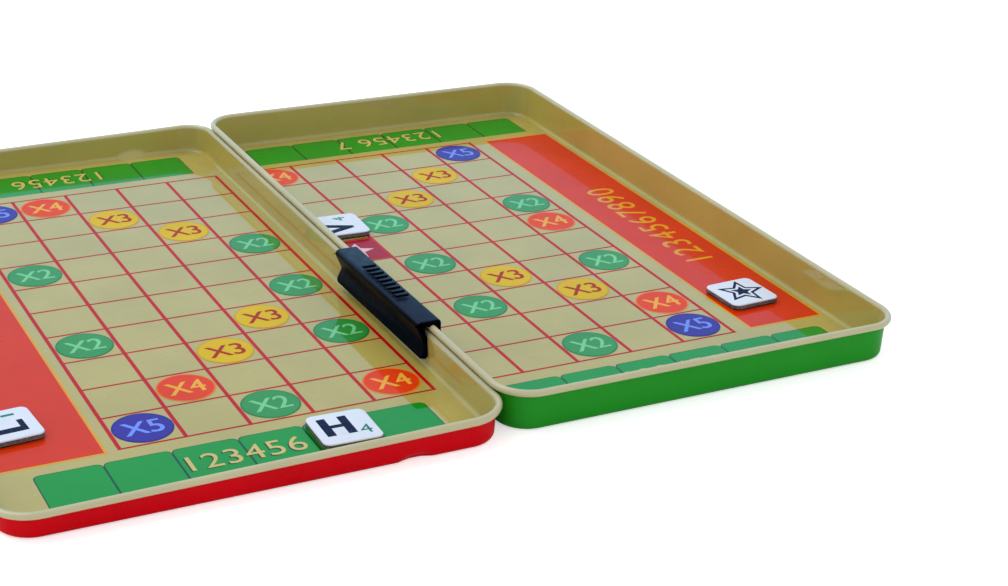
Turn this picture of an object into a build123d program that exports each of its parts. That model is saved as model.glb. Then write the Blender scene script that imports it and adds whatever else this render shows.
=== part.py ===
from build123d import *
import os
from math import cos, radians, sin, tan

# Travel word tile game case, lying open and flat as a board.  Millimetres, +Z up.  The origin is
# on the table, under the middle of the open case.  +X runs over the base, the deep tray, and +Y
# runs along the joint away from the end with the spring clip.  The lid, the shallow tray, is a
# little larger, because it goes over the base when the case is shut.

# ------------------------------------------------------------------ driving dimensions
cell = 15.0               # pitch of the printed squares, from which all sizes are scaled

lid_length = 206.6        # along the joint, over the rolled rim
lid_width = 114.4         # across the joint
lid_height = 7.9
base_length = 202.0
base_width = 110.0
base_height = 10.7
corner_radius = 9.5       # of the rims, in plan
sheet = 0.35              # tinplate thickness
rim_diameter = 1.7        # of the rolled rims
draft = 2.0               # lean of the walls, in degrees
floor_radius = 1.6        # bend from floor to wall, at mid sheet
tuck = 1.3                # the lid's rim lies this far under the base's, against its wall

stop_x = -20.45           # stop dimples in the lid's end walls, which hold the shut base
stop_width = 9.0
stop_depth = 0.9
stop_lean = 40.0          # the dimples are pressed up into the bend, this far below level

clip_length = 50.6
clip_middle_y = -36.4     # the clip sits towards the front of the joint
clip_thickness = 1.5
clip_clearance = 0.45     # plate and lip to the base's rim
spring_gap = 0.6          # from the lid's rim to the waist of the sprung leg
clip_overhang = 2.4       # the plate turns down this far outside the waist
waist_z = 6.6             # its height above the table
tab_flare = 1.0           # the tab's end stands this far out from the waist
clip_corner = 1.8         # corners of the clip, in plan
tab_tip_z = 2.5           # end of the finger tab, above the table
tab_corner = 2.4          # corners of the finger tab, seen from its side
rib_count = 9             # grip ribs on top of the clip
rib_pitch = 2.4
rib_length, rib_width, rib_height = 4.2, 0.9, 0.3
rib_taper = 25.0          # so that the clip leaves its mould

tile_side = 13.8
tile_corner = 2.0
card_thickness = 1.3
magnet_thickness = 0.4

# Where each tile lies: name, X and Y from the middle of the printed board, and turn.
board_x, board_y = 1.55, 2.3
tiles = [
    ("tile_h", -2.12 * cell, -5.78 * cell, -1.5),
    ("tile_l", -6.64 * cell, -3.86 * cell, 4.5),
    ("tile_v", 0.88 * cell, 1.55 * cell, 178.0),
    ("tile_star", 6.20 * cell, -3.83 * cell, 3.0),
]

# ------------------------------------------------------------------ worked out
rim_radius = rim_diameter / 2
case_width = lid_width + base_width - tuck
lid_middle_x = -(case_width - lid_width) / 2
base_middle_x = (case_width - base_width) / 2
lid_rim_x = lid_middle_x + lid_width / 2 - rim_diameter      # inner sides of the rims, at the joint
base_rim_x = base_middle_x - base_width / 2 + rim_diameter


def wall_points(height):
    """Where the mid line of the sheet turns, outwards from the rim's outermost line and up."""
    top = (-rim_diameter + sheet / 2, height - rim_radius)
    foot_z = sheet / 2 + floor_radius * (1 - sin(radians(draft)))
    foot = (top[0] - (top[1] - foot_z) * tan(radians(draft)), foot_z)
    floor_end = (foot[0] - floor_radius * cos(radians(draft)), sheet / 2)
    return floor_end, foot, top


def pressed_tray(middle_x, width, length, height):
    """One tinplate tray: flat floor, leaning walls and the edge rolled outwards into a bead."""
    floor_end, foot, top = wall_points(height)
    lap = 1.0
    with BuildPart() as tray:
        with BuildLine() as rim:
            FilletPolyline(
                (middle_x - width / 2, -length / 2),
                (middle_x + width / 2, -length / 2),
                (middle_x + width / 2, length / 2),
                (middle_x - width / 2, length / 2),
                radius=corner_radius,
                close=True,
            )
        path = rim.wires()[0]
        along = path % 0
        section_plane = Plane(origin=path @ 0, x_dir=along.cross(Vector(0, 0, 1)), z_dir=-along)
        with BuildSketch(section_plane):
            with BuildLine():
                floor = Line((floor_end[0] - lap, floor_end[1]), floor_end)
                bend = JernArc(floor @ 1, floor % 1, floor_radius, 90 - draft)
                Line(bend @ 1, top)
            trace(line_width=sheet)
            with Locations((-rim_radius, height - rim_radius)):
                Circle(rim_radius)
        sweep(path=path)
        with BuildSketch():
            with Locations((middle_x, 0)):
                RectangleRounded(
                    width + 2 * floor_end[0],
                    length + 2 * floor_end[0],
                    corner_radius + floor_end[0],
                )
        extrude(amount=sheet)
    return tray.part


# ------------------------------------------------------------------ trays
os.makedirs("parts", exist_ok=True)

with BuildPart() as tray_right:
    add(pressed_tray(base_middle_x, base_width, base_length, base_height))

# The lid has a stop dimple low in each end wall: its bend is pressed inwards by a round punch.
floor_end, foot, top = wall_points(lid_height)
bend_middle = (floor_end[0], sheet / 2 + floor_radius)
punch_reach = floor_radius + sheet / 2 - stop_depth
punch_radius = ((stop_width / 2) ** 2 + stop_depth**2) / (2 * stop_depth)
punch_offset = punch_reach + punch_radius
punch_y = lid_length / 2 + bend_middle[0] + punch_offset * cos(radians(stop_lean))
punch_z = bend_middle[1] - punch_offset * sin(radians(stop_lean))
wall_outer = sheet / 2 / cos(radians(draft))

with BuildPart() as lid_filling:
    with BuildSketch(Plane.YZ.offset(stop_x)):
        with BuildLine():
            edge_y = lid_length / 2
            inside = Line((edge_y + top[0], top[1]), (edge_y - 12, top[1]))
            middle = Line(inside @ 1, (edge_y - 12, 0))
            under = Line(middle @ 1, (edge_y + floor_end[0], 0))
            bend = JernArc(under @ 1, under % 1, floor_radius + sheet / 2, 90 - draft)
            Line(bend @ 1, (edge_y + top[0] + wall_outer, top[1]))
            Line((edge_y + top[0] + wall_outer, top[1]), inside @ 0)
        make_face()
    extrude(amount=stop_width, both=True)
    with Locations((stop_x, punch_y, punch_z)):
        Sphere(punch_radius + sheet, mode=Mode.INTERSECT)

with BuildPart() as tray_left:
    add(pressed_tray(lid_middle_x, lid_width, lid_length, lid_height))
    add(lid_filling.part)
    add(mirror(lid_filling.part, about=Plane.XZ))
    with Locations((stop_x, punch_y, punch_z), (stop_x, -punch_y, punch_z)):
        Sphere(punch_radius, mode=Mode.SUBTRACT)

# ------------------------------------------------------------------ spring clip
# One moulded strip: a plate over both rims, a short lip down the inside of the base, and a
# sprung leg that passes by the lid's rim and flares out into a finger tab.
half_clip = clip_thickness / 2
plate_z = base_height + clip_clearance + half_clip
lip_x = base_rim_x + clip_clearance + half_clip
waist_x = lid_rim_x - spring_gap - half_clip
clip_line = [
    (lip_x + 0.7, base_height - 2.7),
    (lip_x, base_height - 1.9),
    (lip_x, plate_z),
    (waist_x - clip_overhang, plate_z),
    (waist_x, waist_z),
    (waist_x - tab_flare, tab_tip_z),
]
clip_bends = [0.95, 1.1, 1.2, 1.6]  # at mid thickness, from the lip round to the tab
clip_left, clip_right = waist_x - clip_overhang - half_clip, lip_x + 2 * half_clip

with BuildPart() as clip:
    with BuildSketch(Plane.XZ.offset(-clip_middle_y)):
        with BuildLine():
            FilletPolyline(*clip_line, radius=clip_bends)
        trace(line_width=clip_thickness)
    extrude(amount=clip_length / 2, both=True)
    with BuildSketch():
        with Locations(((clip_left + clip_right) / 2, clip_middle_y)):
            RectangleRounded(clip_right - clip_left, clip_length, clip_corner)
    extrude(amount=2 * base_height, mode=Mode.INTERSECT)
    fillet(clip.edges().filter_by(Axis.Y).group_by(Axis.Z)[0], radius=half_clip * 0.7)
    tab_foot = clip.part.bounding_box().min.Z
    with BuildSketch(Plane.YZ.offset(clip_left)):
        with Locations((clip_middle_y, tab_foot + base_height)):
            RectangleRounded(clip_length, 2 * base_height, tab_corner)
    extrude(amount=clip_right - clip_left, mode=Mode.INTERSECT)
    with BuildSketch(Plane.XY.offset(plate_z + half_clip)):
        with Locations(((lip_x + waist_x - clip_overhang) / 2, clip_middle_y)):
            with GridLocations(0, rib_pitch, 1, rib_count):
                Rectangle(rib_length, rib_width)
    extrude(amount=rib_height, taper=rib_taper)

# ------------------------------------------------------------------ tiles
# A tile is a die-cut card with a letter printed on it and a magnetic sheet glued under it.
pieces = [("tray_left", tray_left), ("tray_right", tray_right), ("clip", clip)]
for name, x, y, turn in tiles:
    place = Plane(origin=(board_x + x, board_y + y, sheet)).rotated((0, 0, turn))
    with BuildPart() as magnet:
        with BuildSketch(place):
            RectangleRounded(tile_side, tile_side, tile_corner)
        extrude(amount=magnet_thickness)
    with BuildPart() as card:
        with BuildSketch(place.offset(magnet_thickness)):
            RectangleRounded(tile_side, tile_side, tile_corner)
        extrude(amount=card_thickness)
    pieces += [(name + "_magnet", magnet), (name + "_card", card)]

for name, piece in pieces:
    piece.part.label = name
    export_step(piece.part, "parts/" + name + ".step")
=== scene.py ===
from math import cos, pi, radians, sin, tan

import bmesh
import bpy
from mathutils import Matrix, Vector


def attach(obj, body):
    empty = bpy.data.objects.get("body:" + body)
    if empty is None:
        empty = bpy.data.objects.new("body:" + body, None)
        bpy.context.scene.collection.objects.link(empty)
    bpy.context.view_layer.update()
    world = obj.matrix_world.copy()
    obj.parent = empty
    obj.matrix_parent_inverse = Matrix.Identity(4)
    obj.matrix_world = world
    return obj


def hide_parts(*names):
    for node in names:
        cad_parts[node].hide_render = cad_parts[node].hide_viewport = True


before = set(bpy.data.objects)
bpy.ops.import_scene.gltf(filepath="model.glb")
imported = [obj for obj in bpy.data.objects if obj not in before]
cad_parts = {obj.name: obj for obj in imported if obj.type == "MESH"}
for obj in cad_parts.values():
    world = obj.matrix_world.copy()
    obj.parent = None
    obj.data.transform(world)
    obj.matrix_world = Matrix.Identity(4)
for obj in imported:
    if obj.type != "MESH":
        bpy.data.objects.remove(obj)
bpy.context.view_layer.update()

# A travel word tile game case, open and flat as a board.  It is drawn in millimetres, +Z up, from
# a point on the table under its middle, and each piece is brought to metres as it is finished.

# ------------------------------------------------------------------ the two trays
# Each half of the case is one sheet of tinplate, pressed into a shallow tray with its edge rolled
# outwards and under.  It is lacquered first: cream inside and over the rolled rim, red outside the
# lid on the left and green outside the base on the right.  The lid's rim lies under the base's.
lid_size = (114.4, 206.6, 7.9)        # over the rim, and up
base_size = (110.0, 202.0, 10.7)
tuck = 1.3                            # how far the lid's rim lies under the base's
corner_radius = 9.5                   # of the rims, in plan
sheet = 0.35
floor_radius = 1.2                    # from floor to wall, at mid sheet
draft = radians(2.0)
roll_radius = 0.85
roll_turn = radians(305)              # how far the edge is rolled round, till it nears the wall
lid_roll_depth = 1.25                 # the lower half of the lid's roll is deeper by this factor
flat_lap = 3.0                        # the part of the floor that is drawn with the walls
corner_steps, bend_steps = 14, 8      # round a corner in plan, and from floor to wall
roll_steps = (36, 30)                 # round the roll's outer side, and back round its inner side
lap_parts, wall_parts = 6, 9          # along the lap, and up the wall
weld = 0.002                          # points that are nearer than this become one
inside, outside, rolled = range(3)    # a tray's finishes, in their order

# The lid is sprung against the base and lies a little tilted.  Its rim is this much higher than
# its size says at its left side and at its right, and by the third number more at the joint, which
# it gains over the last stretch.
lid_rise = (-1.3, 0.35, 0.5)
joint_reach = 10.0

stop_x = -20.45                       # the lid's stop dimples, one low in each end wall
stop_width = 9.0
stop_depth = 0.9
stop_lean = radians(40)               # they are pressed up into the bend, this far below level
stop_reach = 7.0                      # the sheet is finely divided this far to each side of them,
stop_step = 0.5                       # in steps of this length


def chart(red, green, blue):
    """A colour as read off a colour chart, from 0 to 255, as the shader takes it."""
    parts = [v / 255 for v in (red, green, blue)]
    return [((v + 0.055) / 1.055) ** 2.4 if v > 0.04 else v / 12.92 for v in parts] + [1]


def finish(name, **sockets):
    """A material with its shader's sockets set, and where on the piece a pattern is read."""
    made = bpy.data.materials.new(name)
    made.use_nodes = True
    shader = made.node_tree.nodes["Principled BSDF"]
    for socket, value in sockets.items():
        shader.inputs[socket.replace("_", " ")].default_value = value
    spot = made.node_tree.nodes.new("ShaderNodeTexCoord").outputs["Object"]
    return made, shader, spot


def mottle(made, spot, scale, detail=2.0, stretch=(1, 1, 1)):
    """An uneven pattern from 0 to 1, of so many patches to the metre."""
    nodes, links = made.node_tree.nodes, made.node_tree.links
    placed = nodes.new("ShaderNodeMapping")
    placed.inputs["Scale"].default_value = stretch
    links.new(spot, placed.inputs["Vector"])
    noise = nodes.new("ShaderNodeTexNoise")
    noise.inputs["Scale"].default_value = scale
    noise.inputs["Detail"].default_value = detail
    links.new(placed.outputs["Vector"], noise.inputs["Vector"])
    return noise.outputs["Fac"]


def spread(made, value, low, high, to_low, to_high):
    """The part of a pattern between low and high, brought to another range."""
    ranged = made.node_tree.nodes.new("ShaderNodeMapRange")
    for socket, number in zip(("From Min", "From Max", "To Min", "To Max"),
                              (low, high, to_low, to_high)):
        ranged.inputs[socket].default_value = number
    made.node_tree.links.new(value, ranged.inputs["Value"])
    return ranged.outputs["Result"]


def tinted(made, share, under, over):
    """One colour laid over another where the share is 1.  Each is a colour or an output."""
    mixed = made.node_tree.nodes.new("ShaderNodeMix")
    mixed.data_type = "RGBA"
    for socket, colour in ((mixed.inputs[6], under), (mixed.inputs[7], over)):
        if isinstance(colour, list):
            socket.default_value = colour
        else:
            made.node_tree.links.new(colour, socket)
    made.node_tree.links.new(share, mixed.inputs[0])
    return mixed.outputs[2]


def surfaced(made, shader, spot, colour, scale, detail, smooth, rough):
    """Gives a material its colour, and a roughness that wanders from smooth to rough."""
    wander = spread(made, mottle(made, spot, scale, detail), 0.3, 0.7, smooth, rough)
    made.node_tree.links.new(colour, shader.inputs["Base Color"])
    made.node_tree.links.new(wander, shader.inputs["Roughness"])


def raised(made, shader, height, depth, socket="Normal"):
    """Presses a pattern into the surface, so many millimetres deep."""
    bump = made.node_tree.nodes.new("ShaderNodeBump")
    bump.inputs["Strength"].default_value = 1.0
    bump.inputs["Distance"].default_value = depth / 1000
    made.node_tree.links.new(height, bump.inputs["Height"])
    made.node_tree.links.new(bump.outputs["Normal"], shader.inputs[socket])


def tin_lacquer(name, colour, rubbed=None, gloss=1.0):
    """Printed tin under clear lacquer: a mirror gloss over an uneven, slightly soft ink."""
    made, shader, spot = finish(name, Coat_Weight=gloss, Coat_Roughness=0.03, Coat_IOR=1.5,
                                Specular_IOR_Level=0.05)
    deeper = [v * 0.9 for v in colour[:3]] + [1]
    ink = tinted(made, spread(made, mottle(made, spot, 45, 4), 0.35, 0.65, 0, 1), colour, deeper)
    speck = spread(made, mottle(made, spot, 2600, 1), 0.6, 0.8, 0, 0.12)
    ink = tinted(made, speck, ink, [v * 1.25 for v in colour[:3]] + [1])
    if rubbed:
        worn = spread(made, mottle(made, spot, 500, 6, (1, 1, 0.5)), 0.66, 0.76, 0, 0.3)
        ink = tinted(made, worn, ink, rubbed)
    surfaced(made, shader, spot, ink, 220, 3, 0.26, 0.36)
    raised(made, shader, mottle(made, spot, 900, 2), 0.008)
    raised(made, shader, mottle(made, spot, 120, 1), 0.003, socket="Coat Normal")
    return made


def straight(bm, tip, y, z, parts=1):
    """Carries a section on from its tip to a point, and gives its new tip."""
    step = (Vector((tip.co.x, y, z)) - tip.co) / parts
    for _ in range(parts):
        tip = bmesh.ops.extrude_vert_indiv(bm, verts=[tip])["verts"][0]
        bmesh.ops.translate(bm, verts=[tip], vec=step)
    return tip


def bent(bm, tip, y, z, angle, steps):
    """Carries a section on round a bend whose middle is at y, z."""
    made = bmesh.ops.spin(bm, geom=[tip], cent=(tip.co.x, y, z), axis=(1, 0, 0), angle=angle,
                          steps=steps)
    return [part for part in made["geom_last"] if isinstance(part, bmesh.types.BMVert)][0]


def carried_round(bm, section, left, size, finish_number, fine=()):
    """Sweeps a section of the sheet once round the tray, from the front side's left end."""
    old = set(bm.faces)
    right = left + size[0]
    far = size[1] / 2 - corner_radius

    def along(edges, way, length):
        made = bmesh.ops.extrude_edge_only(bm, edges=edges)["geom"]
        verts = [part for part in made if isinstance(part, bmesh.types.BMVert)]
        bmesh.ops.translate(bm, verts=verts, vec=Vector(way) * length)
        return [part for part in made if isinstance(part, bmesh.types.BMEdge)
                and not part.is_wire and part.verts[0] in verts and part.verts[1] in verts]

    def round_corner(edges, x, y):
        made = bmesh.ops.spin(bm, geom=edges, cent=(x, y, 0), axis=(0, 0, 1), angle=pi / 2,
                              steps=corner_steps)
        return [part for part in made["geom_last"] if isinstance(part, bmesh.types.BMEdge)]

    start, end = left + corner_radius, right - corner_radius
    stations = [start, *fine, end]
    edges = section
    for here, there in zip(stations, stations[1:]):
        edges = along(edges, (1, 0, 0), there - here)
    edges = round_corner(edges, end, -far)
    edges = along(edges, (0, 1, 0), 2 * far)
    edges = round_corner(edges, end, far)
    for there, here in reversed(list(zip(stations, stations[1:]))):
        edges = along(edges, (-1, 0, 0), here - there)
    edges = round_corner(edges, start, far)
    edges = along(edges, (0, -1, 0), 2 * far)
    round_corner(edges, start, -far)
    for face in set(bm.faces) - old:
        face.material_index = finish_number
    bmesh.ops.remove_doubles(bm, verts=bm.verts, dist=weld)


def pressed_in(bm, middles, radius):
    """Moves the sheet off a round punch."""
    for middle in middles:
        for vert in bm.verts:
            away = vert.co - middle
            if away.length < radius:
                vert.co = middle + away.normalized() * radius


def finished_piece(name, bm, finishes, body, keen=40):
    """Shades a piece, keeps its keen edges, and lets it ride on its body."""
    bmesh.ops.recalc_face_normals(bm, faces=bm.faces)
    bmesh.ops.scale(bm, vec=(0.001,) * 3, verts=bm.verts)
    for face in bm.faces:
        face.smooth = True
    for edge in bm.edges:
        edge.smooth = edge.calc_face_angle(pi) < radians(keen)
    mesh = bpy.data.meshes.new(name)
    bm.to_mesh(mesh)
    bm.free()
    for made in finishes:
        mesh.materials.append(made)
    piece = bpy.data.objects.new(name, mesh)
    bpy.context.collection.objects.link(piece)
    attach(piece, body)
    return piece


def floor_bend(size):
    """The middle of the bend from floor to wall: how far from the tray's middle, and how high."""
    rise = size[2] - roll_radius - sheet / 2 - floor_radius * (1 - sin(draft))
    wall = size[1] / 2 - 2 * roll_radius + sheet / 2
    return wall - rise * tan(draft) - floor_radius * cos(draft), sheet / 2 + floor_radius


def tin_tray(name, left, size, roll_depth, rises, punches, finishes, body):
    """One tray: its inside, the rolled edge, its outside and then both floors."""
    rim_y, height = -size[1] / 2, size[2]
    wall_y = rim_y + 2 * roll_radius
    roll_y, roll_z = rim_y + roll_radius, height - roll_radius
    bend_reach, bend_z = floor_bend(size)
    bend_y = -bend_reach
    turned = roll_radius - sheet
    outer = floor_radius + sheet / 2
    fine = []
    if punches:
        steps = int(2 * stop_reach / stop_step)
        fine = [stop_x - stop_reach + stop_step * n for n in range(steps + 1)]

    def carried(known, finish_number):
        """Deepens the roll's lower half, and sweeps all that was drawn since the last sweep."""
        section = [edge for edge in bm.edges if not set(edge.verts) & known]
        for vert in set(bm.verts) - known:
            if vert.co.z < roll_z and vert.co.y < roll_y + turned - 0.001:
                vert.co.z = roll_z - (roll_z - vert.co.z) * roll_depth
        carried_round(bm, section, left, size, finish_number, fine)
        return set(bm.verts)

    bm = bmesh.new()
    tip = bm.verts.new((left + corner_radius, bend_y + flat_lap, sheet))
    tip = straight(bm, tip, bend_y, sheet, lap_parts)
    tip = bent(bm, tip, bend_y, bend_z, draft - pi / 2, bend_steps)
    straight(bm, tip, wall_y, roll_z, wall_parts)
    known = carried(set(), inside)
    pressed_in(bm, punches, punch_radius + sheet)

    tip = bm.verts.new((left + corner_radius, wall_y, roll_z))
    tip = bent(bm, tip, roll_y, roll_z, roll_turn, roll_steps[0])
    edge_y, edge_z = tip.co.y, tip.co.z
    known = carried(known, rolled)

    tip = bm.verts.new((left + corner_radius, edge_y, edge_z))
    tip = straight(bm, tip, roll_y + turned * cos(roll_turn), roll_z + turned * sin(roll_turn))
    tip = bent(bm, tip, roll_y, roll_z, -roll_turn, roll_steps[1])
    tip = straight(bm, tip, bend_y - outer * cos(draft), bend_z - outer * sin(draft), wall_parts)
    tip = bent(bm, tip, bend_y, bend_z, pi / 2 - draft, bend_steps)
    straight(bm, tip, bend_y + flat_lap, 0, lap_parts)
    carried(known, outside)
    pressed_in(bm, punches, punch_radius)

    for level, number in ((sheet, inside), (0, outside)):
        rim = [edge for edge in bm.edges if edge.is_boundary
               and all(abs(vert.co.z - level) < 0.01 for vert in edge.verts)]
        for face in bmesh.ops.holes_fill(bm, edges=rim, sides=0)["faces"]:
            face.material_index = number
    at_left, at_right, at_joint = rises
    for vert in bm.verts:
        up = max(0, vert.co.z - sheet) / (height - sheet)
        share = (vert.co.x - left) / size[0]
        sprung = at_joint * max(0, 1 - (1 - share) * size[0] / joint_reach)
        vert.co.z += up * (at_left * (1 - share) + at_right * share + sprung)
    return finished_piece(name, bm, finishes, body)


# Each dimple is made by a ball that presses the lid's bend inwards.
bend_reach, bend_z = floor_bend(lid_size)
punch_radius = ((stop_width / 2) ** 2 + stop_depth**2) / (2 * stop_depth)
punch_offset = floor_radius + sheet / 2 - stop_depth + punch_radius
punch_y = bend_reach + punch_offset * cos(stop_lean)
punch_z = bend_z - punch_offset * sin(stop_lean)
punches = [Vector((stop_x, side * punch_y, punch_z)) for side in (-1, 1)]

cream = tin_lacquer("cream_lacquer", chart(188, 171, 86), rubbed=chart(204, 192, 128))
# The rolled rim gets a paler copy of the cream lacquer: a painted highlight for the light the roll
# catches. The rubbed flecks over it are wear.
cream_rim_painted_highlight = tin_lacquer("cream_lacquer_rim_painted_highlight", chart(200, 191, 148), rubbed=chart(216, 208, 176))
red = tin_lacquer("red_lacquer", chart(214, 0, 18), rubbed=chart(222, 20, 32), gloss=0.04)
green = tin_lacquer("green_lacquer", chart(26, 150, 30), rubbed=chart(50, 164, 60), gloss=0.2)

half_width = (lid_size[0] + base_size[0] - tuck) / 2
lid = tin_tray("lid_tray", -half_width, lid_size, lid_roll_depth, lid_rise, punches,
               [cream, red, cream_rim_painted_highlight], "left_tray")
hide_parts("tray_left")
base = tin_tray("base_tray", half_width - base_size[0], base_size, 1.0, (0, 0, 0), [],
                [cream, green, cream_rim_painted_highlight], "right_tray")
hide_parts("tray_right")

# ------------------------------------------------------------------ printed racks and pools
# The board is printed inside both trays before they are pressed.  Along each end wall runs a rack
# of six green places with plain figures over them, and by each outer wall a long orange pool.
cell = 15.0                   # pitch of the printed squares
board_x, board_y = 1.55, 2.3  # the middle of the print
grid_near = 4.2               # the grid's first line, from the middle of the print
columns, rows = 5, 10
ink_step = 0.02               # each layer of ink stands this far above the one under it
ink_foot = 0.3                # the inks' undersides, within the sheet

place_pitch = 15.05
place_count = 6
place_corner = 1.6            # of the two back corners, in dark green
green_corner = 1.4
green_inset = (0.26, 0.24)    # of the bright green in the dark, at the sides and at the back
pool_edge = 0.6               # the yellow line round a pool

# Of the lid, then of the base: where the racks start, their near and far edges at the front and
# at the back, and the pool's left, right, front and back edges.
rack_left = (-99.6, 11.1)
rack_edges = (((-94.4, -79.6), (79.4, 94.3)), ((-94.4, -79.7), (78.5, 92.4)))
pool_sides = ((-106.2, -82.1, -75.9, 75.0), (84.2, 106.4, -74.8, 74.8))

# The figures on each rack, and their middle, width and turn.
rack_figures = (
    (("123456", -54.6, -87.2, 26.6, 0), ("123456", -48.2, 87.0, 25.6, 180)),
    (("123456", 55.0, -87.4, 26.6, 0), ("123456 7", 56.2, 86.0, 34.6, 180)),
)
figure_height = 6.4
figure_spacing = 1.05
figure_shade = (0.4, 0.28)    # a dark copy of them lies this far to their left and below them

# The figures in the base's pool.  Those in the lid's are the same, turned half round.
pool_figures = "1234567890"
pool_figures_size = (57.0, 8.6)
pool_figures_place = (96.6, -3.5)
pool_figures_spacing = 1.1

# Each ink's colour and gloss.
rack_inks = {
    "rack_green": (chart(4, 148, 8), 0.68),
    "rack_dark_green": (chart(0, 66, 16), 0.7),
    "rack_cream": (chart(214, 190, 104), 0.7),
    "pool_orange": (chart(218, 50, 0), 0.3),
    "pool_yellow": (chart(230, 160, 16), 0.4),
}
rack_finishes = [tin_lacquer(name, colour, gloss=gloss)
                 for name, (colour, gloss) in rack_inks.items()]


def sunk(bm, face, level, number):
    """Makes a flat patch into a thin layer of one of the inks, keyed into the sheet."""
    face.material_index = number
    made = bmesh.ops.extrude_face_region(bm, geom=[face])["geom"]
    lifted = [part for part in made if isinstance(part, bmesh.types.BMVert)]
    for vert in face.verts:
        vert.co.z = ink_foot
    for vert in lifted:
        vert.co.z = sheet + level * ink_step
        for side in vert.link_faces:
            side.material_index = number


def patch(bm, x_range, y_range, level, number, corners=(), radius=0.0):
    """A rectangle of ink.  The corners named by the signs of x and y are rounded."""
    low = Vector((min(x_range), min(y_range), 0))
    size = Vector((max(x_range), max(y_range), 0)) - low
    middle = low + size / 2
    move = Matrix.Translation(middle) @ Matrix.Diagonal((size.x, size.y, 1, 1))
    verts = bmesh.ops.create_grid(bm, x_segments=1, y_segments=1, size=0.5, matrix=move)["verts"]
    face = verts[0].link_faces[0]
    rounded = [vert for vert in verts for x_sign, y_sign in corners
               if (vert.co.x - middle.x) * x_sign > 0 and (vert.co.y - middle.y) * y_sign > 0]
    if rounded:
        keep = [vert for vert in verts if vert not in rounded][0]
        bmesh.ops.bevel(bm, geom=rounded, affect="VERTICES", offset=radius, segments=5,
                        profile=0.5, material=-1)
        face = keep.link_faces[0]
    sunk(bm, face, level, number)


def figures(bm, text, size, middle, level, number, turn=0, spacing=1.0, weight=0.0):
    """Plain figures or a letter, fitted to a width and a height, as a thin layer of ink."""
    curve = bpy.data.curves.new("figures", "FONT")
    curve.body = text
    curve.offset = weight
    curve.space_character = spacing
    curve.resolution_u = 6
    curve.extrude = 0.5
    drawn = bpy.data.objects.new("figures", curve)
    mesh = bpy.data.meshes.new_from_object(drawn)
    low = [min(vert.co[i] for vert in mesh.vertices) for i in range(3)]
    high = [max(vert.co[i] for vert in mesh.vertices) for i in range(3)]
    top = sheet + level * ink_step
    scale = (size[0] / (high[0] - low[0]), size[1] / (high[1] - low[1]), top - ink_foot, 1)
    centred = Matrix.Translation([-(a + b) / 2 for a, b in zip(low, high)])
    mesh.transform(
        Matrix.Translation((middle[0], middle[1], (top + ink_foot) / 2))
        @ Matrix.Rotation(radians(turn), 4, "Z") @ Matrix.Diagonal(scale) @ centred
    )
    old = set(bm.faces)
    bm.from_mesh(mesh)
    for face in set(bm.faces) - old:
        face.material_index = number
    bpy.data.objects.remove(drawn)
    bpy.data.curves.remove(curve)
    bpy.data.meshes.remove(mesh)


def printed(name, bm, finishes, body):
    """Moves a part of the print from the print's own middle to its place, and finishes it."""
    bmesh.ops.translate(bm, verts=bm.verts, vec=(board_x, board_y, 0))
    finished_piece(name, bm, finishes, body)


def racks_and_pool(name, tray, body):
    """Both racks and the pool of one tray: 0 is the lid and 1 is the base."""
    bm = bmesh.new()
    bright, dark, pale, orange, yellow = range(len(rack_finishes))
    back_corners = [(-1, 1), (1, 1)]
    for near, far in rack_edges[tray]:
        for n in range(place_count):
            left = rack_left[tray] + n * place_pitch
            right = left + place_pitch
            patch(bm, [left, right], [near, far], 1, dark, back_corners, place_corner)
            patch(bm, [left + green_inset[0], right - green_inset[0]],
                  [near, far - green_inset[1]], 2, bright, back_corners, green_corner)
    for text, x, y, width, turn in rack_figures[tray]:
        way = 1 if turn == 0 else -1
        for level, ink, shade in ((3, dark, -way), (4, pale, 0)):
            middle = (x + shade * figure_shade[0], y + shade * figure_shade[1])
            figures(bm, text, (width, figure_height), middle, level, ink, turn, figure_spacing)
    left, right, front, back = pool_sides[tray]
    patch(bm, [left, right], [front, back], 1, yellow)
    patch(bm, [left + pool_edge, right - pool_edge], [front + pool_edge, back - pool_edge],
          2, orange)
    side = 1 if tray else -1
    x, y = pool_figures_place
    figures(bm, pool_figures, pool_figures_size, (side * x, side * y), 3, yellow, side * 90,
            pool_figures_spacing)
    bmesh.ops.remove_doubles(bm, verts=bm.verts, dist=0.0001)
    printed(name, bm, rack_finishes, body)


racks_and_pool("lid_racks_and_pool", 0, "left_tray")
racks_and_pool("base_racks_and_pool", 1, "right_tray")

# ------------------------------------------------------------------ printed squares
# Each tray holds half of the board, five columns of ten squares between crimson lines.  The lines
# that run along the joint are the wider ones.
line_along, line_across = 0.92, 0.62
crimson = tin_lacquer("crimson_ink", chart(196, 2, 22), gloss=0.25)
crimson_deep = tin_lacquer("deep_crimson_ink", chart(184, 2, 16), gloss=0.25)


def ruled_squares(name, side, body):
    """The grid's lines over one tray."""
    bm = bmesh.new()
    bright, deep = range(2)
    half = rows * cell / 2
    for n in range(rows + 1):
        y = half - n * cell
        patch(bm, [side * grid_near, side * (grid_near + columns * cell)],
              [y - line_across / 2, y + line_across / 2], 1, deep)
    for n in range(columns + 1):
        x = side * (grid_near + n * cell)
        patch(bm, [x - line_along / 2, x + line_along / 2],
              [-half - line_across / 2, half + line_across / 2], 2, bright)
    printed(name, bm, [crimson, crimson_deep], body)


ruled_squares("lid_squares", -1, "left_tray")
ruled_squares("base_squares", 1, "right_tray")

# ------------------------------------------------------------------ printed bonus discs
# Round spots in the squares multiply the score by 2 to 5, each value in its own colour.  One
# square beside the joint is filled with magenta and holds a plain star.
disc_radius = 6.9
disc_ring = 0.4
disc_sides = 56
bonus_size = (8.9, 6.0)       # of an X and its figure, which are drawn twice,
bonus_shift = 0.12            # this far to each side, so that their strokes are bolder
start_radius = 5.2
star_turn = radians(18)       # with which one of a star's points lies to the right
star_waist = 0.46

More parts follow.
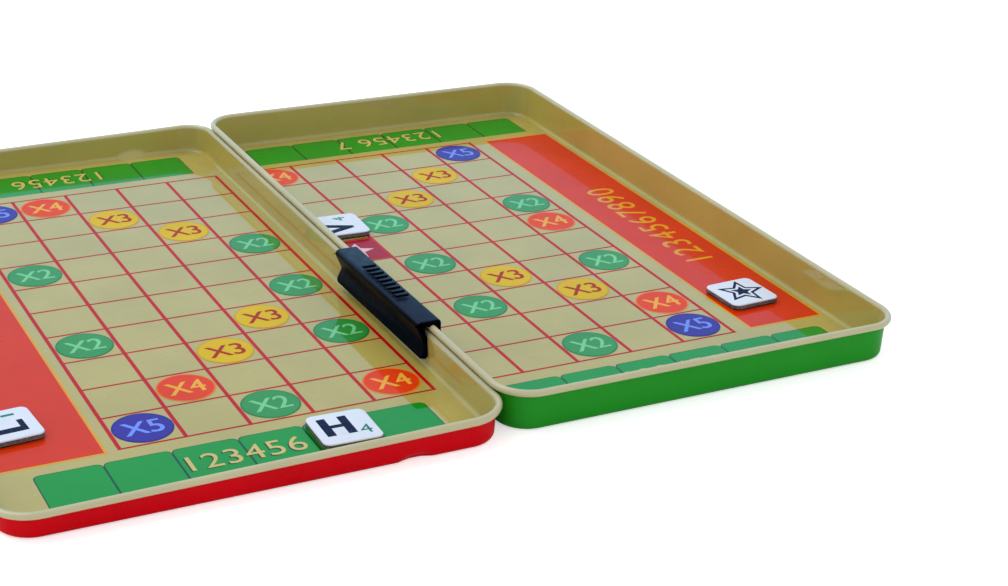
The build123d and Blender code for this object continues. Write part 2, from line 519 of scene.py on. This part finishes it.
# The disc, figure and ring of each value, and their gloss.
bonus_parts = ("disc", "figure", "ring")
bonus_colours = {
    2: (chart(48, 146, 52), chart(120, 208, 140), chart(30, 124, 42), 0.65),
    3: (chart(220, 186, 0), chart(174, 36, 0), chart(206, 166, 0), 0.18),
    4: (chart(232, 62, 10), chart(240, 178, 60), chart(236, 130, 16), 0.25),
    5: (chart(56, 30, 158), chart(116, 146, 255), chart(46, 22, 140), 0.4),
}
bonus_inks = []
for value, (*colours, gloss) in bonus_colours.items():
    for part, colour in zip(bonus_parts, colours):
        bonus_inks.append(tin_lacquer(f"bonus_{value}_{part}", colour, gloss=gloss))
bonus_inks += [tin_lacquer("start_magenta", chart(166, 6, 46), gloss=0.25),
               tin_lacquer("start_star", chart(232, 190, 200), gloss=0.25)]

# Row from the back and column from the left, by value.
lid_discs = {
    5: [(1, 1), (10, 1)],
    4: [(1, 2), (9, 2), (10, 5)],
    3: [(2, 3), (3, 4), (7, 4), (8, 3)],
    2: [(4, 1), (4, 5), (6, 5), (7, 1), (8, 5), (10, 3)],
}
base_discs = {
    5: [(1, 5), (10, 5)],
    4: [(1, 1), (5, 5), (9, 5)],
    3: [(2, 4), (3, 3), (7, 3), (8, 4)],
    2: [(4, 2), (4, 5), (6, 2), (7, 5), (8, 2), (10, 3)],
}


def round_patch(bm, x, y, radius, level, number):
    """A disc of ink."""
    verts = bmesh.ops.create_circle(bm, cap_ends=True, radius=radius, segments=disc_sides,
                                    matrix=Matrix.Translation((x, y, 0)))["verts"]
    sunk(bm, verts[0].link_faces[0], level, number)


def star_patch(bm, x, y, radius, level, number):
    """A five-pointed star of ink: a ring of ten points with every other one drawn in."""
    verts = bmesh.ops.create_circle(bm, cap_ends=True, radius=radius, segments=10,
                                    matrix=Matrix.Rotation(star_turn, 4, "Z"))["verts"]
    for vert in verts[::2]:
        vert.co *= star_waist
    bmesh.ops.translate(bm, verts=verts, vec=(x, y, 0))
    sunk(bm, verts[0].link_faces[0], level, number)


def bonus_discs(name, discs, left, body, start=None):
    """All the discs of one tray, whose grid's left line is at left."""
    bm = bmesh.new()
    values = list(bonus_colours)

    def middle_of(row, column):
        return left + (column - 0.5) * cell, (rows / 2 - row + 0.5) * cell

    for value, places in discs.items():
        first = len(bonus_parts) * values.index(value)
        disc, figure, ring = range(first, first + len(bonus_parts))
        for row, column in places:
            x, y = middle_of(row, column)
            round_patch(bm, x, y, disc_radius, 3, ring)
            round_patch(bm, x, y, disc_radius - disc_ring, 4, disc)
            for level, shift in ((5, -bonus_shift), (6, bonus_shift)):
                figures(bm, f"X{value}", bonus_size, (x + shift, y), level, figure)
    if start:
        x, y = middle_of(*start)
        half = cell / 2 - line_along / 2
        magenta = len(bonus_parts) * len(values)
        patch(bm, [x - half, x + half], [y - half, y + half], 1, magenta)
        star_patch(bm, x, y, start_radius, 2, magenta + 1)
    printed(name, bm, bonus_inks, body)


bonus_discs("lid_bonus_discs", lid_discs, -grid_near - columns * cell, "left_tray")
bonus_discs("base_bonus_discs", base_discs, grid_near, "right_tray", start=(5, 1))

# ------------------------------------------------------------------ the spring clip
# One strip of black moulded plastic holds the two rims together.  Its plate lies over both rims,
# a short lip goes down inside the base and a sprung leg flares out into a finger tab in the lid.
clip_length = 51.6            # along the end of the tab, which is the longest part
clip_askew = radians(0.6)     # it was pushed on a little out of line with the joint
clip_middle_x = 0.9
clip_middle_y = -36.4
clip_thickness = 1.5
clip_corner = 1.8
clip_edge = 0.3               # the roundness of its edges
plate_z = 11.9                # middle of the plate's thickness
waist_z = 6.6                 # where the leg stands nearest to the lid's rim
tab_tip_z = 2.5
plate_short = 1.6             # the plate ends this far inside the ends of the tab

# The strip at mid thickness, X and Z: its ends and the corners between them, from the lip in the
# base over the plate and down to the end of the tab, and the radius of the bend at each corner.
clip_turns = [(5.15, 8.0), (4.45, 8.8), (4.45, plate_z), (-2.6, plate_z), (-0.2, waist_z),
              (-1.2, tab_tip_z)]
clip_bends = [0.95, 1.1, 1.2, 1.6]

rib_count = 9
rib_pitch = 2.4
rib_size = (3.4, 0.9, 0.3)
rib_edge = 0.14

bm = bmesh.new()
chain = [bm.verts.new((x, clip_middle_y - clip_length / 2, z)) for x, z in clip_turns]
for here, there in zip(chain, chain[1:]):
    bm.edges.new((here, there))
points = [vert.co.copy() for vert in chain]
for bend, before, corner, after in zip(clip_bends, points, points[1:], points[2:]):
    turn = (corner - before).angle(after - corner)
    bending = [vert for vert in bm.verts if (vert.co - corner).length < 0.001]
    bmesh.ops.bevel(bm, geom=bending, affect="VERTICES", offset=bend * tan(turn / 2),
                    segments=8, profile=0.5, material=-1)
strip = bm.edges[:]
made = bmesh.ops.extrude_edge_only(bm, edges=strip)["geom"]
ends = [part for part in made if isinstance(part, bmesh.types.BMVert)]
bmesh.ops.translate(bm, verts=ends, vec=(0, clip_length, 0))

# From the tip of the tab up to the waist its ends draw in, to the length of the plate.
for vert in bm.verts:
    share = min(1.0, (vert.co.z - tab_tip_z) / (waist_z - tab_tip_z))
    vert.co.y += plate_short * share * (1 if vert.co.y < clip_middle_y else -1)
tips = [vert for vert in bm.verts if len(vert.link_edges) == 2]
bmesh.ops.bevel(bm, geom=tips, affect="VERTICES", offset=clip_corner, segments=6, profile=0.5,
                material=-1)
bmesh.ops.recalc_face_normals(bm, faces=bm.faces)
bmesh.ops.solidify(bm, geom=bm.faces[:] + bm.edges[:] + bm.verts[:], thickness=clip_thickness)
bmesh.ops.recalc_face_normals(bm, faces=bm.faces)
keen = [edge for edge in bm.edges if edge.calc_face_angle(0) > radians(60)]
bmesh.ops.bevel(bm, geom=keen, affect="EDGES", offset=clip_edge, segments=3, profile=0.5,
                material=-1)
for n in range(rib_count):
    y = clip_middle_y + (n - (rib_count - 1) / 2) * rib_pitch
    move = (Matrix.Translation((clip_middle_x, y, plate_z + clip_thickness / 2))
            @ Matrix.Diagonal((rib_size[0], rib_size[1], 2 * rib_size[2], 1)))
    rib = bmesh.ops.create_cube(bm, size=1.0, matrix=move)["verts"]
    upper = [vert for vert in rib if vert.co.z > plate_z + clip_thickness / 2]
    edges = {edge for vert in upper for edge in vert.link_edges}
    bmesh.ops.bevel(bm, geom=list(edges), affect="EDGES", offset=rib_edge, segments=3,
                    profile=0.5, material=-1)
bmesh.ops.rotate(bm, cent=(clip_middle_x, clip_middle_y, 0), verts=bm.verts,
                 matrix=Matrix.Rotation(clip_askew, 3, "Z"))

plastic, shader, spot = finish("clip_plastic")
scuff = spread(plastic, mottle(plastic, spot, 340, 6, (1, 0.25, 1)), 0.5, 0.72, 0, 0.3)
navy = tinted(plastic, scuff, chart(2, 4, 12), chart(18, 24, 42))
geometry = plastic.node_tree.nodes.new("ShaderNodeNewGeometry")
facing = plastic.node_tree.nodes.new("ShaderNodeSeparateXYZ")
plastic.node_tree.links.new(geometry.outputs["Normal"], facing.inputs[0])
# Faces that turn upwards are painted a lighter blue-grey: a painted sheen for the light on the
# plate's top. Their specular level rises with them as well.
painted_top_sheen = spread(plastic, facing.outputs["Z"], 0.6, 1.0, 0, 0.8)
navy = tinted(plastic, painted_top_sheen, navy, chart(26, 32, 56))
plastic.node_tree.links.new(spread(plastic, facing.outputs["Z"], 0.2, 1.0, 0.02, 0.12),
                            shader.inputs["Specular IOR Level"])
surfaced(plastic, shader, spot, navy, 500, 4, 0.3, 0.46)
raised(plastic, shader, mottle(plastic, spot, 2400, 3), 0.02)
clip = finished_piece("spring_clip_strip", bm, [plastic], "spring_clip")
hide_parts("clip")

# ------------------------------------------------------------------ the tiles
# A tile is a square die-cut from thick greyboard faced with white paper.  A letter and its small
# score are printed on the paper, and a dark magnetic sheet is glued under the board.
tile_side = 14.1
tile_corner = 1.8
magnet_thickness = 0.4
card_foot = sheet + magnet_thickness
card_thickness = 1.3
paper_edge = 0.32             # the paper is pressed down round the edge by this much
face_z = card_foot + card_thickness

# Name, letter, score, X and Y from the middle of the print, turn of the card, and turn of the
# letter on the card.
tile_plan = [
    ("tile_h", "H", "4", -2.12 * cell, -5.78 * cell, -1.5, 0),
    ("tile_l", "L", "1", -6.64 * cell, -3.86 * cell, 4.5, 90),
    ("tile_v", "V", "4", 0.88 * cell, 1.55 * cell, 178.0, -90),
    ("tile_star", None, None, 6.20 * cell, -3.83 * cell, 3.0, 0),
]

# Each letter's and each score's width, height and place on the card.
letter_places = {
    "H": (7.0, 8.2, -1.6, 0.6),
    "L": (5.3, 8.4, -1.5, 0.0),
    "V": (7.0, 8.2, -2.7, 0.6),
}
score_places = {
    "H": (2.7, 3.9, 4.1, -2.6),
    "L": (0.9, 3.0, 4.1, -1.9),
    "V": (2.6, 3.6, 3.6, -1.4),
}
letter_shift = 0.4            # a letter is drawn twice, this far each way, for heavier uprights
letter_weight = 0.012         # its outline is set out by this share of the type's size
star_radii = (6.6, 4.7, 3.0)  # of the star tile's navy, white and navy stars, one on the other
star_middle_y = -0.1

paper, shader, spot = finish("tile_paper", Specular_IOR_Level=0.45)
fibre = spread(paper, mottle(paper, spot, 1500, 5), 0.35, 0.7, 0, 0.3)
white = tinted(paper, fibre, chart(226, 234, 250), chart(205, 216, 238))
grime = spread(paper, mottle(paper, spot, 170, 4), 0.55, 0.75, 0, 0.25)
white = tinted(paper, grime, white, chart(190, 196, 208))
surfaced(paper, shader, spot, white, 700, 3, 0.34, 0.5)
raised(paper, shader, mottle(paper, spot, 3200, 3), 0.02)

greyboard, shader, spot = finish("tile_greyboard", Specular_IOR_Level=0.2)
plies = spread(greyboard, mottle(greyboard, spot, 900, 3, (0.25, 0.25, 4)), 0.35, 0.65, 0, 1)
grey = tinted(greyboard, plies, chart(124, 114, 118), chart(74, 64, 70))
flecks = spread(greyboard, mottle(greyboard, spot, 3000, 2), 0.52, 0.66, 0, 0.65)
grey = tinted(greyboard, flecks, grey, chart(168, 160, 158))
surfaced(greyboard, shader, spot, grey, 1200, 3, 0.75, 0.95)
raised(greyboard, shader, mottle(greyboard, spot, 2600, 5, (1, 1, 3)), 0.09)

magnet, shader, spot = finish("tile_magnet_rubber", Specular_IOR_Level=0.3)
dust = spread(magnet, mottle(magnet, spot, 800, 4), 0.5, 0.75, 0, 0.4)
rubber = tinted(magnet, dust, chart(30, 28, 30), chart(66, 62, 62))
surfaced(magnet, shader, spot, rubber, 900, 3, 0.6, 0.8)
raised(magnet, shader, mottle(magnet, spot, 3000, 3), 0.03)


def tile_ink(name, colour):
    """Matt ink that lets a little of the paper's fibre through."""
    made, shader, spot = finish(name, Specular_IOR_Level=0.1)
    thin = spread(made, mottle(made, spot, 2200, 4), 0.55, 0.8, 0, 0.3)
    ink = tinted(made, thin, colour, chart(120, 128, 150))
    surfaced(made, shader, spot, ink, 900, 2, 0.38, 0.55)
    return made


letter_ink = tile_ink("tile_letter_navy", chart(16, 18, 56))
score_ink = tile_ink("tile_score_teal", chart(40, 130, 120))

for body, letter, score, x, y, turn, letter_turn in tile_plan:
    place = (Matrix.Translation((board_x + x, board_y + y, 0))
             @ Matrix.Rotation(radians(turn), 4, "Z"))
    bm = bmesh.new()
    corners = bmesh.ops.create_grid(bm, x_segments=1, y_segments=1, size=tile_side / 2)["verts"]
    bmesh.ops.bevel(bm, geom=corners, affect="VERTICES", offset=tile_corner, segments=7,
                    profile=0.5, material=-1)
    made = bmesh.ops.extrude_face_region(bm, geom=bm.faces[:])["geom"]
    lifted = [part for part in made if isinstance(part, bmesh.types.BMVert)]
    bmesh.ops.translate(bm, verts=lifted, vec=(0, 0, card_thickness))
    top = [edge for edge in bm.edges if edge.verts[0] in lifted and edge.verts[1] in lifted]
    for face in bm.faces:
        face.material_index = 0 if all(vert in lifted for vert in face.verts) else 1
    bmesh.ops.bevel(bm, geom=top, affect="EDGES", offset=paper_edge, segments=4, profile=0.5,
                    material=0)
    bmesh.ops.translate(bm, verts=bm.verts, vec=(0, 0, card_foot))
    bmesh.ops.transform(bm, matrix=place, verts=bm.verts)
    card = finished_piece(body + "_board", bm, [paper, greyboard], body, keen=60)
    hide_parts(body + "_card")
    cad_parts[body + "_magnet"].data.materials.clear()
    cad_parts[body + "_magnet"].data.materials.append(magnet)

    bm = bmesh.new()
    if letter:
        width, height, across, up = letter_places[letter]
        for level, shift in ((0, -letter_shift), (1, letter_shift)):
            figures(bm, letter, (width - 2 * letter_shift, height), (across + shift, up), level, 0,
                    weight=letter_weight)
        width, height, across, up = score_places[letter]
        figures(bm, score, (width, height), (across, up), 0, 1)
    else:
        for level, radius in enumerate(star_radii):
            star_patch(bm, 0, star_middle_y, radius, level, level % 2)
    for vert in bm.verts:
        vert.co.z += face_z + ink_step - sheet
    bmesh.ops.transform(bm, matrix=place @ Matrix.Rotation(radians(letter_turn), 4, "Z"),
                        verts=bm.verts)
    finished_piece(body + "_print", bm, [letter_ink, score_ink if letter else paper], body)

# ------------------------------------------------------------------ floor, light and camera
# The case lies on a plain white table under soft studio light.  The camera sees the surroundings
# as full white, and the lacquer's gloss shows them as a pale blue haze.
table_reach = 3.0             # in metres
lamp_size, lamp_watts = 1.1, 6.0
lamp_place = (-0.5, 0.55, 1.2)

# The camera looks from the front left.  Its place was worked out from the lines of the board.
azimuth, elevation, roll = 0.4961, 0.4174, 0.0478
aim_x, aim_y = 2.4165, -2.1366        # squares from the middle of the print
aim_distance = 33.4644                # squares from there to the camera
focal_pixels, frame_pixels = 1936.5, 1008
bpy.context.scene.view_settings.view_transform = "Standard"

world = bpy.data.worlds.new("studio")
bpy.context.scene.world = world
world.use_nodes = True
nodes, links = world.node_tree.nodes, world.node_tree.links
nodes.clear()
path = nodes.new("ShaderNodeLightPath")
light = None

# What lights the case, what its gloss reflects, and what the camera sees.
for ray, colour, strength in ((None, (0.97, 0.98, 1, 1), 0.8),
                              ("Is Glossy Ray", (0.33, 0.68, 0.97, 1), 1.25),
                              ("Is Camera Ray", (1, 1, 1, 1), 1.0)):
    sky = nodes.new("ShaderNodeBackground")
    sky.inputs["Color"].default_value = colour
    sky.inputs["Strength"].default_value = strength
    if light:
        either = nodes.new("ShaderNodeMixShader")
        links.new(path.outputs[ray], either.inputs[0])
        links.new(light.outputs[0], either.inputs[1])
        links.new(sky.outputs[0], either.inputs[2])
        sky = either
    light = sky
links.new(light.outputs[0], nodes.new("ShaderNodeOutputWorld").inputs["Surface"])

bm = bmesh.new()
bmesh.ops.create_grid(bm, x_segments=1, y_segments=1, size=table_reach)
mesh = bpy.data.meshes.new("table")
bm.to_mesh(mesh)
bm.free()
table = bpy.data.objects.new("table", mesh)
bpy.context.collection.objects.link(table)
table_white, shader, spot = finish("table_white", Roughness=0.9, Specular_IOR_Level=0.0)
shader.inputs["Base Color"].default_value = (0.97, 0.97, 0.97, 1)
shader.inputs["Emission Color"].default_value = (1, 1, 1, 1)
eye = table_white.node_tree.nodes.new("ShaderNodeLightPath").outputs["Is Camera Ray"]
table_white.node_tree.links.new(spread(table_white, eye, 0, 1, 0, 0.5),
                                shader.inputs["Emission Strength"])
mesh.materials.append(table_white)

lamp = bpy.data.lights.new("softbox", "AREA")
lamp.shape = "DISK"
lamp.size = lamp_size
lamp.energy = lamp_watts
softbox = bpy.data.objects.new("softbox", lamp)
softbox.location = lamp_place
softbox.rotation_mode = "QUATERNION"
softbox.rotation_quaternion = softbox.location.to_track_quat("Z", "Y")
bpy.context.collection.objects.link(softbox)

target = Vector((board_x + aim_x * cell, board_y + aim_y * cell, sheet)) / 1000
distance = aim_distance * cell / 1000
ahead = Vector((sin(azimuth) * cos(elevation), cos(azimuth) * cos(elevation), -sin(elevation)))
level = Vector((cos(azimuth), -sin(azimuth), 0))
upright = level.cross(ahead)
right = cos(roll) * level + sin(roll) * upright
up = -sin(roll) * level + cos(roll) * upright
view = bpy.data.cameras.new("camera")
view.sensor_width = 36.0
view.lens = focal_pixels / frame_pixels * view.sensor_width
view.clip_start, view.clip_end = 0.01, 20.0
camera = bpy.data.objects.new("camera", view)
turned = Matrix((right, up, -ahead)).transposed().to_4x4()
camera.matrix_world = Matrix.Translation(target - distance * ahead) @ turned
bpy.context.collection.objects.link(camera)
bpy.context.scene.camera = camera
